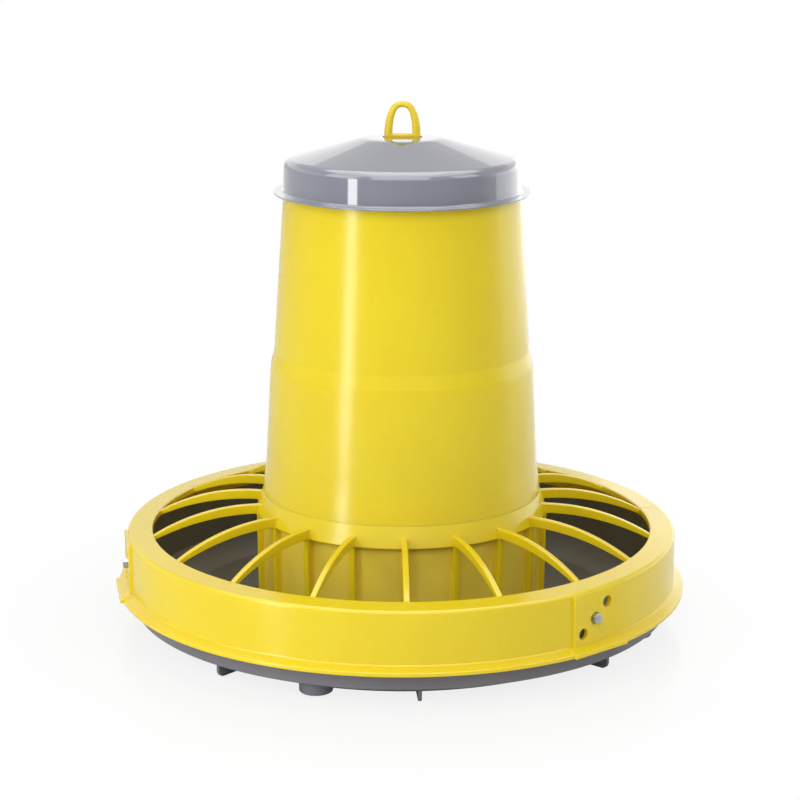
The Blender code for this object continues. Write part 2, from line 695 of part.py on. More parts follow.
def lid_profile():
    wall_top, shoulder_top, flat = lid_heights()
    brim_top = LID_BOTTOM + BRIM_THICKNESS
    top_side = [
        (0.0, flat),
        (LID_FLAT_RADIUS, flat),
        (LID_RADIUS - LID_SHOULDER, shoulder_top),
        (LID_RADIUS - LID_SHOULDER * 0.533, wall_top + LID_SHOULDER_RISE * 0.842),
        (LID_RADIUS - LID_SHOULDER * 0.183, wall_top + LID_SHOULDER_RISE * 0.553),
        (LID_RADIUS, wall_top + LID_SHOULDER_RISE * 0.197),
        (LID_RADIUS + LID_DRAFT, brim_top + BRIM_FILLET),
        (LID_RADIUS + LID_DRAFT + BRIM_FILLET * 0.55, brim_top + BRIM_FILLET * 0.35),
        (LID_RADIUS + BRIM_REACH, brim_top),
        (LID_RADIUS + BRIM_REACH, LID_BOTTOM),
    ]
    underside = [
        (LID_INNER_RADIUS + LID_DRAFT, LID_BOTTOM),
        (LID_INNER_RADIUS, wall_top),
        (LID_RADIUS - LID_SHOULDER * 0.6, wall_top + LID_SHOULDER_RISE * 0.51),
        (LID_RADIUS - LID_SHOULDER - LID_WALL * 0.3, shoulder_top - LID_WALL),
        (LID_FLAT_RADIUS, flat - LID_WALL),
        (0.0, flat - LID_WALL),
    ]
    return top_side + underside


def make_lid(material):
    lid = add_part("lid", profile_mesh("lid", [lid_profile()], closed=False), material)
    turn(lid)
    half_width = LOOP_HALF_WIDTH + SLOT_CLEARANCE
    half_depth = YOKE_DEPTH / 2.0 + SLOT_CLEARANCE
    flat = lid_heights()[2]
    slot = box_mesh("loop_slot", (-half_width, -half_depth, flat - LID_WALL * 3.0),
                    (half_width, half_depth, flat + LID_WALL * 2.0))
    combine(lid, add_cutter("loop_slot", slot), "DIFFERENCE")


# Hanger

def yoke_bar_heights():
    bottom = HOPPER_TOP + YOKE_BAR_LIFT
    return bottom, bottom + YOKE_BAR_HEIGHT


def loop_mesh():
    """The loop as a flattened tube in the XZ plane, thinner at its crown, its legs drawn in."""
    crown_radius = LOOP_THICKNESS / 2.0 * LOOP_CROWN_SHARE
    foot = lid_heights()[2] - LOOP_THICKNESS / 2.0
    rise = lid_heights()[2] + LOOP_HEIGHT - crown_radius - foot
    half = LOOP_HALF_WIDTH - LOOP_THICKNESS / 2.0
    power = 2.0 / LOOP_SQUARENESS
    route = []
    arch_steps = 20
    for i in range(arch_steps + 1):
        angle = pi * i / arch_steps
        across = half * abs(cos(angle)) ** power
        up = abs(sin(angle)) ** power
        if angle < pi / 2.0:
            across = -across
        route.append((across, foot + rise * up, 1.0 - (1.0 - LOOP_CROWN_SHARE) * up * up))
    curve = bpy.data.curves.new("loop", "CURVE")
    curve.dimensions = "3D"
    curve.bevel_depth = LOOP_THICKNESS / 2.0
    curve.bevel_resolution = 2
    curve.use_fill_caps = True
    spline = curve.splines.new("POLY")
    spline.points.add(len(route) - 1)
    for point, (x, z, share) in zip(spline.points, route):
        point.co = (x, 0.0, z, 1.0)
        point.radius = share
    flatten = Matrix.Diagonal((1.0, YOKE_DEPTH / LOOP_THICKNESS, 1.0, 1.0))
    return mesh_from_curve("loop", curve, flatten)


def yoke_outline():
    """Bridge across the hopper's mouth and the neck that rises through the lid."""
    bottom, top = yoke_bar_heights()
    reach = NECK_RADIUS + LID_CLEARANCE * 0.5
    half_neck = NECK_WIDTH / 2.0
    flat = lid_heights()[2]
    gusset_top = flat - LID_WALL * 3.0
    gusset_reach = NECK_INNER_RADIUS * 0.45
    right = [
        (reach, bottom),
        (reach, top - YOKE_BAR_HEIGHT * 0.15),
        (reach - YOKE_BAR_HEIGHT * 0.15, top),
        (gusset_reach, top),
        (half_neck, gusset_top),
        (half_neck, flat + NECK_PROUD),
    ]
    left = [(-x, z) for x, z in reversed(right)]
    return right + left


def make_yoke(material):
    mesh = outline_mesh("hanger_yoke", yoke_outline(), YOKE_DEPTH * 0.96)
    yoke = add_part("hanger_yoke", mesh, material)
    combine(yoke, add_cutter("loop", loop_mesh()), "UNION")


# Build

for old in list(bpy.data.objects):
    bpy.data.objects.remove(old)

parts = make_collection("poultry_feeder")
cutters = make_collection("cutters")

yellow = make_material("feeder_yellow", (0.79, 0.61, 0.024), 0.32)
loop_yellow = make_material("loop_yellow", (0.82, 0.62, 0.022), 0.38)
pan_grey = make_material("pan_grey", (0.155, 0.152, 0.165), 0.48)
lid_grey = make_material("lid_grey", (0.285, 0.285, 0.315), 0.18)
steel = make_material("zinc_steel", (0.58, 0.60, 0.64), 0.34, metallic=1.0)

make_pan(pan_grey)
make_guard(yellow)
make_studs(steel)
make_hopper(yellow.copy())
make_lid(lid_grey)
make_yoke(loop_yellow)
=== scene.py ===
from math import cos, hypot, pi, radians, sin, tan

import bmesh
import bpy
from mathutils import Matrix, Vector


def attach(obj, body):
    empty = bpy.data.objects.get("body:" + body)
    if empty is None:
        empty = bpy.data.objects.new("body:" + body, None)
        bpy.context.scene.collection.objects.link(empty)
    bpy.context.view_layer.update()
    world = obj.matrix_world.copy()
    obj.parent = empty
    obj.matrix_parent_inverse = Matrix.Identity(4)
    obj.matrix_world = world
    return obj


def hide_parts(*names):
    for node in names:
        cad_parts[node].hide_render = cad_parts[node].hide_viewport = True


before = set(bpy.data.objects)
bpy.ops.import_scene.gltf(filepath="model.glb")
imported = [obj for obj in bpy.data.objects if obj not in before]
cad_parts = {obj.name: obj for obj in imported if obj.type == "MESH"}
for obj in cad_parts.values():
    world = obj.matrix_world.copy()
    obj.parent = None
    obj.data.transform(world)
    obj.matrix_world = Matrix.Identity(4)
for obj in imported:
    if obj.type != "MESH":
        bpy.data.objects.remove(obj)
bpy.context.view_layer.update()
print("frame loaded")

# Metres, +Z up, angles counted from the front (-Y) towards +X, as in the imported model
levels = {
    "panFloor": 0.0030,
    "panEdge": 0.0147,
    "panTop": 0.0627,
    "skirtBottom": 0.0177,
    "flange": 0.0302,
    "stud": 0.0570,
    "rimTop": 0.0817,
    "collarBottom": 0.0957,
    "collarTop": 0.1144,
    "hopperBottom": 0.1147,
    "hopperTop": 0.3762,
    "neckTop": 0.3962,
    "lidBottom": 0.3765,
    "lidFlat": 0.4237,
}
studAngles = [radians(39.4 + 120.0 * i) for i in range(3)]


# Camera

cameraSettings = {
    "distance": 1.88925,
    "height": 0.6587,
    "azimuth": radians(1.2),
    "down": radians(13.85),
    "roll": radians(0.18),
    "lens": 99.97,
    "centre": 401.62,  # pixel column of the lens axis in the photograph, which is 800 across
}


def makeCamera(settings):
    data = bpy.data.cameras.new("camera")
    data.sensor_width = 36.0
    data.lens = settings["lens"]
    data.shift_x = (400.0 - settings["centre"]) / 800.0
    data.clip_end = 50.0
    camera = bpy.data.objects.new("camera", data)
    bpy.context.scene.collection.objects.link(camera)
    azimuth = settings["azimuth"]
    reach = settings["distance"]
    camera.matrix_world = (
        Matrix.Translation((-reach * sin(azimuth), -reach * cos(azimuth), settings["height"]))
        @ Matrix.Rotation(-azimuth, 4, "Z")
        @ Matrix.Rotation(pi / 2 - settings["down"], 4, "X")
        @ Matrix.Rotation(settings["roll"], 4, "Z")
    )
    bpy.context.scene.camera = camera


makeCamera(cameraSettings)
print("camera placed")


# Shader nodes

class Wire:
    # one output socket, so that shader maths reads as maths
    def __init__(self, maker, socket):
        self.maker = maker
        self.socket = socket

    def maths(self, operation, *values):
        return self.maker.node("ShaderNodeMath", {"operation": operation}, dict(enumerate(values)))

    def __add__(self, other):
        return self.maths("ADD", self, other)

    def __sub__(self, other):
        return self.maths("SUBTRACT", self, other)

    def __rsub__(self, other):
        return self.maths("SUBTRACT", other, self)

    def __mul__(self, other):
        return self.maths("MULTIPLY", self, other)

    __radd__ = __add__
    __rmul__ = __mul__


class Finish:
    # a node tree that is filled one node at a time
    spacing = 190  # between nodes in the editor

    def __init__(self, tree):
        self.tree = tree

    def node(self, kind, settings=None, sockets=None, output=0):
        made = self.tree.nodes.new(kind)
        made.location = (len(self.tree.nodes) * self.spacing, 0)
        for key, value in (settings or {}).items():
            setattr(made, key, value)
        self.connect(made, sockets or {})
        return Wire(self, self.pick(made.outputs, output))

    def connect(self, made, sockets):
        for key, value in sockets.items():
            target = self.pick(made.inputs, key)
            if isinstance(value, Wire):
                self.tree.links.new(value.socket, target)
            else:
                target.default_value = value

    def pick(self, sockets, key):
        if isinstance(key, int):
            return sockets[key]
        named = [socket for socket in sockets if socket.identifier == key]
        return named[0] if named else sockets[key]

    def noise(self, place, scale, detail=2.0, rough=0.5):
        return self.node("ShaderNodeTexNoise", {}, {"Vector": place, "Scale": scale, "Detail": detail,
                                                    "Roughness": rough})

    def between(self, value, low, high, start=0.0, end=1.0):
        # value's span from low to high, spread smoothly from start to end
        return self.node("ShaderNodeMapRange", {"interpolation_type": "SMOOTHSTEP"},
                         {"Value": value, "From Min": low, "From Max": high, "To Min": start, "To Max": end})

    def tint(self, mask, first, second):
        return self.node("ShaderNodeMix", {"data_type": "RGBA"},
                         {"Factor_Float": mask, "A_Color": first, "B_Color": second}, "Result_Color")

    def stretched(self, place, scale):
        return self.node("ShaderNodeVectorMath", {"operation": "MULTIPLY"}, {0: place, 1: scale})

    def length(self, place):
        return self.node("ShaderNodeVectorMath", {"operation": "LENGTH"}, {0: place}, "Value")

    def part(self, place, axis):
        return self.node("ShaderNodeSeparateXYZ", {}, {0: place}, axis)

    def place(self):
        return self.node("ShaderNodeTexCoord", output="Object")

    def softEdge(self, radius):
        return self.node("ShaderNodeBevel", {"samples": 4}, {"Radius": radius})

    def relief(self, height, soft):
        # height in millimetres, the bump's distance being one millimetre
        return self.node("ShaderNodeBump", {}, {"Strength": 1.0, "Distance": 0.001, "Height": height,
                                                "Normal": soft})


def newMaterial(name):
    material = bpy.data.materials.new(name)
    material.use_nodes = True
    return material, Finish(material.node_tree), material.node_tree.nodes["Principled BSDF"]


def shade(colour):
    # a colour as a socket takes it
    return (*colour, 1.0)


white = shade((1.0, 1.0, 1.0))


# Moulded plastic

# Shared by all the moulded finishes: a noise's scale, and the span of it that makes the mark
moulding = {
    "driftSpan": (0.34, 0.66),
    # patches of the toned area: painted light on the guard's skirt, and the darker brown inside the pan
    "tonedScale": 26.0,
    "tonedSpan": (0.30, 0.70),
    "tonedLeast": 0.75,
    "tonedRim": 0.0010,  # how far a toned area takes to fade sideways
    "tonedEdge": 0.0008,  # and up or down
    "speckSpan": (0.70, 0.78),
    # where the painted edge highlight falls, and its patches, which also make those edges rougher
    "edgeSheenSpan": (0.02, 0.25),
    "edgePatchScale": 55.0,
    "edgePatchSpan": (0.45, 0.70),
    "edgePatchLeast": 0.35,
    "wornGloss": 0.06,
    "scratchStretch": (900.0, 900.0, 60.0),
    "scratchSpan": (0.62, 0.74),
    "glossScale": 22.0,
}


def tonedArea(finish, place, colour, area):
    # another colour within a radius, and between two heights over a slope, in patches
    # in use: painted light on the guard's skirt, and darker brown patches inside the pan
    reach = finish.length(finish.stretched(place, (1.0, 1.0, 0.0)))
    sloping = reach - area["slopeStart"]
    over = finish.part(place, "Z") - sloping.maths("MAXIMUM", sloping, 0.0) * area["slope"]
    rim = moulding["tonedRim"]
    edge = moulding["tonedEdge"]
    within = finish.between(reach, area["radius"] + rim, area["radius"])
    within = within * finish.between(over, area["low"], area["low"] + edge)
    within = within * finish.between(over, area["high"] + edge, area["high"])
    patches = finish.between(finish.noise(place, moulding["tonedScale"], 4.0, 0.6), *moulding["tonedSpan"],
                             moulding["tonedLeast"], 1.0)
    return finish.tint(within * patches, colour, shade(area["colour"]))


def mouldedPlastic(name, settings):
    # broad drift of the colour, specks, mould grain, slow waves that bend reflections, painted edge highlight
    material, finish, shader = newMaterial(name)
    place = finish.place()
    drift = finish.between(finish.noise(place, settings["driftScale"], 3.0), *moulding["driftSpan"])
    colour = finish.tint(drift, shade(settings["colour"]), shade(settings["deeper"]))
    # painted light on the guard's skirt, darker brown patches inside the pan
    if settings["toned"]:
        colour = tonedArea(finish, place, colour, settings["toned"])
    specks = finish.between(finish.noise(place, settings["speckScale"], 1.0), *moulding["speckSpan"])
    colour = finish.tint(specks * settings["speckShow"], colour, shade(settings["speck"]))
    soft = finish.softEdge(settings["edge"])
    flat = finish.node("ShaderNodeNewGeometry", output="Normal")
    along = finish.node("ShaderNodeVectorMath", {"operation": "DOT_PRODUCT"}, {0: soft, 1: flat}, "Value")
    edgeSheen = finish.between(1 - along, *moulding["edgeSheenSpan"])
    edgePatches = finish.between(finish.noise(place, moulding["edgePatchScale"], 4.0, 0.6), *moulding["edgePatchSpan"])
    least = moulding["edgePatchLeast"]
    # painted highlight: a paler colour along the edges, convex and concave alike, in patches
    paintedEdgeSheen = edgeSheen * (least + edgePatches * (1 - least)) * settings["edgeSheenShow"]
    colour = finish.tint(paintedEdgeSheen, colour, shade(settings["edgeSheen"]))
    scratch = finish.noise(finish.stretched(place, moulding["scratchStretch"]), 1.0, 3.0, 0.7)
    scratches = finish.between(scratch, *moulding["scratchSpan"])
    drift = finish.noise(place, moulding["glossScale"], 3.0) - 0.5
    gloss = settings["roughness"] + drift * settings["glossDrift"]
    gloss = gloss + scratches * settings["scratchShow"] + edgeSheen * edgePatches * moulding["wornGloss"]
    waves = finish.noise(place, settings["waveScale"], 1.0)
    grain = finish.noise(place, settings["grainScale"], 2.0)
    height = waves * settings["waveHeight"] + grain * settings["grainHeight"]
    normal = finish.relief(height - scratches * settings["scratchDepth"], soft)
    finish.connect(shader, {"Base Color": colour, "Roughness": gloss, "Normal": normal, "IOR": settings["ior"],
                            "Coat Weight": settings["coat"], "Coat Roughness": settings["coatRoughness"],
                            "Subsurface Weight": settings["glow"], "Subsurface Scale": settings["glowDepth"],
                            "Subsurface Radius": settings["glowColour"]})
    return material


yellowSettings = {
    "colour": (0.800, 0.615, 0.012),
    "deeper": (0.780, 0.588, 0.010),
    "driftScale": 9.0,
    "speckScale": 750.0,
    "speck": (0.42, 0.27, 0.02),
    "speckShow": 0.30,
    "edge": 0.0008,
    # the painted edge highlight's colour, and how strongly it shows
    "edgeSheen": (0.86, 0.72, 0.12),
    "edgeSheenShow": 0.35,
    "roughness": 0.21,
    "glossDrift": 0.08,
    "scratchShow": 0.10,
    "scratchDepth": 0.0015,
    "waveScale": 42.0,
    "waveHeight": 0.10,
    "grainScale": 1700.0,
    "grainHeight": 0.004,
    "ior": 1.50,
    "coat": 0.0,
    "coatRoughness": 0.03,
    "glow": 0.22,
    "glowDepth": 0.008,
    "glowColour": (1.0, 0.50, 0.08),
    # painted light: a paler yellow on the guard's skirt, to make up for the shade it stands in
    "toned": {"colour": (0.90, 0.66, 0.085), "radius": 0.1225, "low": -1.0, "high": 0.0945,
              "slopeStart": 1.0, "slope": 0.0},
}
hangerSettings = dict(
    yellowSettings,
    colour=(0.82, 0.62, 0.022),
    deeper=(0.79, 0.58, 0.02),
    roughness=0.38,
    toned=None,
)
panSettings = dict(
    yellowSettings,
    colour=(0.172, 0.168, 0.198),
    deeper=(0.155, 0.152, 0.178),
    # darker, browner patches inside the pan, and none on its underside
    toned={"colour": (0.110, 0.098, 0.064), "radius": 0.2335, "low": 0.0018, "high": 1.0,
           "slopeStart": 0.20195, "slope": 0.4286},
    driftScale=14.0,
    speck=(0.34, 0.33, 0.33),
    speckShow=0.35,
    # the painted edge highlight's colour, and how strongly it shows
    edgeSheen=(0.30, 0.29, 0.30),
    edgeSheenShow=0.55,
    roughness=0.40,
    scratchShow=0.16,
    grainHeight=0.006,
    glow=0.0,
)
lidSettings = dict(
    yellowSettings,
    colour=(0.222, 0.228, 0.272),
    deeper=(0.210, 0.216, 0.259),
    toned=None,
    coat=1.0,
    speck=(0.18, 0.18, 0.20),
    speckShow=0.20,
    # the painted edge highlight's colour, and how strongly it shows
    edgeSheen=(0.42, 0.42, 0.45),
    edgeSheenShow=0.30,
    roughness=0.07,
    glossDrift=0.03,
    scratchShow=0.05,
    waveHeight=0.03,
    grainHeight=0.0005,
    glow=0.0,
)


# Zinc-plated steel

steelSettings = {
    "colour": (0.50, 0.52, 0.56),
    "blotch": (0.40, 0.42, 0.45),
    "blotchScale": 420.0,
    "blotchSpan": (0.40, 0.62),
    "blotchGloss": 0.08,
    "blotchHeight": 0.006,
    "brushStretch": (5000.0, 5000.0, 700.0),
    "brushGloss": 0.15,
    "brushHeight": 0.004,
    "roughness": 0.30,
    "edge": 0.0003,
}


def zincSteel(name, settings):
    material, finish, shader = newMaterial(name)
    place = finish.place()
    blotches = finish.between(finish.noise(place, settings["blotchScale"], 3.0), *settings["blotchSpan"])
    colour = finish.tint(blotches, shade(settings["colour"]), shade(settings["blotch"]))
    brushed = finish.noise(finish.stretched(place, settings["brushStretch"]), 1.0, 2.0)
    gloss = settings["roughness"] + blotches * settings["blotchGloss"]
    gloss = gloss + (brushed - 0.5) * settings["brushGloss"]
    height = brushed * settings["brushHeight"] + blotches * settings["blotchHeight"]
    normal = finish.relief(height, finish.softEdge(settings["edge"]))
    finish.connect(shader, {"Base Color": colour, "Roughness": gloss, "Normal": normal, "Metallic": 1.0})
    return material


yellow = mouldedPlastic("yellowMoulding", yellowSettings)
hangerYellow = mouldedPlastic("hangerMoulding", hangerSettings)
panGrey = mouldedPlastic("panMoulding", panSettings)
lidGrey = mouldedPlastic("lidMoulding", lidSettings)
steel = zincSteel("zincPlate", steelSettings)
print("finishes made")


# Mesh tools

def rounded(points, closed=True, step=radians(13.0)):
    # a path whose corners (a, b, radius) are drawn as arcs
    path = []
    count = len(points)
    for i, point in enumerate(points):
        corner = Vector(point[:2])
        if len(point) < 3 or (not closed and i in (0, count - 1)):
            path.append(corner)
            continue
        back = Vector(points[i - 1][:2]) - corner
        on = Vector(points[(i + 1) % count][:2]) - corner
        half = back.angle(on) / 2
        run = min(point[2] / tan(half), back.length * 0.48, on.length * 0.48)
        back.normalize()
        on.normalize()
        middle = corner + (back + on).normalized() * (run / cos(half))
        first = corner + back * run - middle
        last = corner + on * run - middle
        sweep = first.angle(last)
        if first.x * last.y - first.y * last.x < 0:
            sweep = -sweep
        parts = max(2, round(abs(sweep) / step))
        for k in range(parts + 1):
            angle = sweep * k / parts
            path.append(middle + Vector((first.x * cos(angle) - first.y * sin(angle),
                                         first.x * sin(angle) + first.y * cos(angle))))
    return path


def crestArc(crest, end, count):
    # points of the circle that is level at crest and passes through end
    run = end[0] - crest[0]
    drop = crest[1] - end[1]
    radius = (run * run + drop * drop) / (2 * drop)
    points = []
    for i in range(count + 1):
        across = run * i / count
        points.append((crest[0] + across, crest[1] - radius + (radius * radius - across * across) ** 0.5))
    return points


def fromWork(name, work):
    bmesh.ops.recalc_face_normals(work, faces=work.faces)
    mesh = bpy.data.meshes.new(name)
    work.to_mesh(mesh)
    work.free()
    return mesh


def turnedMesh(name, paths, steps=288):
    # each path of (radius, height) turned about Z, closed unless it starts and ends on the axis
    work = bmesh.new()
    for path in paths:
        rings = []
        for radius, height in path:
            if radius < 1e-6:
                rings.append([work.verts.new((0.0, 0.0, height))] * steps)
            else:
                angles = [2 * pi * i / steps for i in range(steps)]
                rings.append([work.verts.new((radius * cos(a), radius * sin(a), height)) for a in angles])
        pairs = list(zip(rings, rings[1:]))
        if path[0][0] > 1e-6:
            pairs.append((rings[-1], rings[0]))
        for ring, following in pairs:
            for i in range(steps):
                j = (i + 1) % steps
                corners = list(dict.fromkeys((ring[i], ring[j], following[j], following[i])))
                if len(corners) > 2:
                    work.faces.new(corners)
    return fromWork(name, work)


def slabMesh(name, outline, thickness, edge=0.0, flat=False):
    # an outline in the XZ plane, or the XY plane if flat, made thick about it, both rims rounded
    work = bmesh.new()
    half = thickness / 2
    sides = []
    for depth in (-half, half):
        sides.append([work.verts.new((a, b, depth) if flat else (a, depth, b)) for a, b in outline])
    caps = [work.faces.new(side) for side in sides]
    count = len(outline)
    for i in range(count):
        j = (i + 1) % count
        work.faces.new((sides[0][i], sides[0][j], sides[1][j], sides[1][i]))
    bmesh.ops.recalc_face_normals(work, faces=work.faces)
    if edge:
        rims = list({rim for cap in caps for rim in cap.edges})
        bmesh.ops.bevel(work, geom=rims, offset=edge, offset_type="OFFSET", segments=3, profile=0.5,
                        affect="EDGES", clamp_overlap=True)
    return fromWork(name, work)


def facing(angle, height=0.0):
    # turns +X to this angle from the front, at this height
    return Matrix.Translation((0.0, 0.0, height)) @ Matrix.Rotation(angle - pi / 2, 4, "Z")


def lying(radius=0.0, height=0.0):
    # lays a shape turned about Z along +X
    return Matrix.Translation((radius, 0.0, height)) @ Matrix.Rotation(pi / 2, 4, "Y")


studPlaces = [facing(angle, levels["stud"]) for angle in studAngles]
thirds = [Matrix.Rotation(2 * pi * i / 3, 4, "Z") for i in range(3)]


def repeated(name, mesh, placings):
    work = bmesh.new()
    for placing in placings:
        before = len(work.verts)
        work.from_mesh(mesh)
        work.verts.ensure_lookup_table()
        bmesh.ops.transform(work, matrix=placing, verts=work.verts[before:])
    bpy.data.meshes.remove(mesh)
    return fromWork(name, work)


def addPiece(name, mesh):
    piece = bpy.data.objects.new(name, mesh)
    bpy.context.scene.collection.objects.link(piece)
    return piece


def joinMesh(piece, mesh, operation="UNION"):
    # adds the mesh to the piece, or cuts it away, for good
    tool = addPiece(mesh.name + "_tool", mesh)
    change = piece.modifiers.new("join", "BOOLEAN")
    change.operation = operation
    change.solver = "EXACT"
    change.object = tool
    bpy.context.view_layer.update()
    seen = piece.evaluated_get(bpy.context.evaluated_depsgraph_get())
    joined = bpy.data.meshes.new_from_object(seen)
    old = piece.data
    piece.modifiers.clear()
    piece.data = joined
    bpy.data.objects.remove(tool)
    bpy.data.meshes.remove(mesh)
    bpy.data.meshes.remove(old)


def finishPiece(piece, material, body, nodes, sharp=radians(33.0)):
    work = bmesh.new()
    work.from_mesh(piece.data)
    bmesh.ops.remove_doubles(work, verts=work.verts, dist=0.0000005)
    bmesh.ops.dissolve_degenerate(work, edges=work.edges, dist=0.0000005)
    work.to_mesh(piece.data)
    work.free()
    piece.data.materials.clear()
    piece.data.materials.append(material)
    piece.data.shade_smooth()
    piece.data.set_sharp_from_angle(angle=sharp)
    weighted = piece.modifiers.new("weighted", "WEIGHTED_NORMAL")
    weighted.keep_sharp = True
    weighted.weight = 60
    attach(piece, body)
    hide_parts(*nodes)
    print(piece.name, "made,", len(piece.data.polygons), "faces")


# Feed pan

panSizes = {
    "radius": 0.23625,
    "wall": 0.0030,
    "slopeStart": 0.20195,
    "coneRadius": 0.1080,
    "coneHeight": 0.0525,
    "tipShare": 0.12,  # where the cone rounds over, as a share of its radius
    "tipDips": (0.0245, 0.0525, 0.17),  # how far it drops there, as shares of its height
    "underDip": 0.07,
    "sunk": 0.0012,
    "finCount": 8,
    "firstFin": radians(2.7),
    "finThickness": 0.0030,
    "finReach": 0.2285,
    "finCorner": 0.0090,
    "footCount": 4,
    "footRadius": 0.0138,
    "footCircle": 0.2142,
    "footRise": 0.0012,
    "boreRadius": 0.0028,
}


def slopeHeight(radius, sizes=panSizes):
    # height of the pan's underside, flat inside and sloping up to its edge
    share = max(0.0, radius - sizes["slopeStart"]) / (sizes["radius"] - sizes["slopeStart"])
    return share * levels["panEdge"]


def makePan(sizes):
    wall = sizes["wall"]
    outer = sizes["radius"]
    inner = outer - wall
    cone = sizes["coneRadius"]
    rise = sizes["coneHeight"]
    floor = levels["panFloor"]
    top = floor + rise
    edge = levels["panEdge"]
    tip = cone * sizes["tipShare"]
    middleDip, roundDip, sideDip = (rise * share for share in sizes["tipDips"])
    thick = wall * hypot(cone, rise) / cone
    path = rounded([
        (0.0, top - middleDip),
        (tip * 0.6, top - roundDip, 0.010),
        (tip * 1.4, top - sideDip, 0.006),
        (cone * 0.97, floor, 0.020),
        (sizes["slopeStart"] - wall * 0.2, floor, 0.014),
        (inner, edge + wall * 1.2, 0.005),
        (inner, levels["panTop"], 0.0008),
        (outer, levels["panTop"], 0.0008),
        (outer, edge, 0.0009),
        (sizes["slopeStart"], 0.0, 0.010),
        (cone - wall * 1.5, 0.0, 0.006),
        (tip * 1.3, top - sideDip - thick, 0.006),
        (0.0, top - rise * sizes["underDip"] - thick),
    ], closed=False)
    pan = addPiece("feedPan", turnedMesh("feedPan", [path]))

    step = 2 * pi / sizes["finCount"]
    fin = rounded([
        (sizes["slopeStart"], 0.0002),
        (sizes["finReach"], 0.0002, sizes["finCorner"]),
        (sizes["finReach"], slopeHeight(sizes["finReach"]) + sizes["sunk"]),
        (sizes["slopeStart"], sizes["sunk"]),
    ])
    fins = slabMesh("fin", fin, sizes["finThickness"], 0.0004)
    finPlaces = [facing(sizes["firstFin"] + step * i) for i in range(sizes["finCount"])]
    joinMesh(pan, repeated("fins", fins, finPlaces))

    radius = sizes["footRadius"]
    footTop = slopeHeight(sizes["footCircle"])
    foot = turnedMesh("foot", [rounded([(0.0, footTop), (radius, footTop), (radius, sizes["footRise"], 0.0016),
                                        (0.0, sizes["footRise"])], closed=False)], 72)
    foot.transform(Matrix.Translation((sizes["footCircle"], 0.0, 0.0)))
    for point in foot.vertices:
        if point.co.z > footTop - 0.0001:
            point.co.z = slopeHeight(hypot(point.co.x, point.co.y)) + sizes["sunk"]
    firstFoot = sizes["firstFin"] - step / 2
    footPlaces = [facing(firstFoot + 2 * pi * i / sizes["footCount"]) for i in range(sizes["footCount"])]
    joinMesh(pan, repeated("feet", foot, footPlaces))

    bore = turnedMesh("bore", [[(0.0, inner - wall), (sizes["boreRadius"], inner - wall),
                                (sizes["boreRadius"], outer + wall), (0.0, outer + wall)]], 36)
    bore.transform(lying())
    joinMesh(pan, repeated("bores", bore, studPlaces), "DIFFERENCE")
    finishPiece(pan, panGrey, "base", ["feed_pan"])


makePan(panSizes)


# Guard

guardSizes = {
    "rimRadius": 0.2415,
    "rimInner": 0.2193,
    "wall": 0.0030,
    "crown": 0.0010,
    "corner": 0.0034,
    "draft": 0.0004,
    "flangeReach": 0.0085,
    "flangeEdge": 0.0035,
    "flangeRise": 0.0032,
    "barCount": 18,
    "barThickness": 0.0050,
    "barEdge": 0.0009,
    "barInside": 0.0085,
    "barOutside": 0.0047,
    "barFlat": 0.0080,
    "barDrop": 0.0092,  # below the collar's top; side bars look a few mm high beside the photograph
    "barRoot": 0.0020,
    "barSunk": 0.00075,
    "collarTopRadius": 0.1221,
    "collarRadius": 0.1283,
    "skirtInner": 0.11925,
    "skirtRadius": 0.12175,
    "postReach": 0.0070,
    "postChamfer": 0.0055,
    "postDraft": 0.0008,
    "plateFace": 0.2424,
    "plateWidth": 0.0430,
    "ridge": 0.0025,
    "ridgeProud": 0.0005,
    "padWidth": 0.0590,
    "padReach": 0.0012,
    "plateLine": 0.0009,
    "plateLineProud": 0.0002,
    "ringRadius": 0.0036,
    "ringPlaces": ((-0.0089, 0.0079), (0.0076, -0.0092)),
    "rimLineWidth": 0.0011,
    "rimLineProud": 0.00014,
    "rimLineSunk": 0.0008,
    "boreRadius": 0.0048,
    "boreEdge": 0.0006,
    "boreRise": 0.0111,
    "boreStep": 0.0133,
    "turnGap": 0.0006,
    "twist": radians(26.0),
    "twistSlack": radians(0.6),
}

# The hopper's spigot and lugs, which the guard's grooves take
bayonet = {
    "spigot": 0.11865,
    "lugDrop": 0.0082,
    "lugHeight": 0.0076,
    "lugSpread": radians(18.0),
    "lugReach": 0.0020,
}
lugTop = levels["hopperBottom"] - bayonet["lugDrop"]


def bandMesh(name, inner, outer, bottom, top, start, end):
    # a block between two radii and two heights, from start to end about Z, facing +X at 0
    count = max(3, round((end - start) / radians(2.0)))
    angles = [start + (end - start) * i / count for i in range(count + 1)]
    outline = [(outer * cos(a), outer * sin(a)) for a in angles]
    outline += [(inner * cos(a), inner * sin(a)) for a in reversed(angles)]
    mesh = slabMesh(name, outline, top - bottom, flat=True)
    mesh.transform(Matrix.Translation((0.0, 0.0, (bottom + top) / 2)))
    return mesh


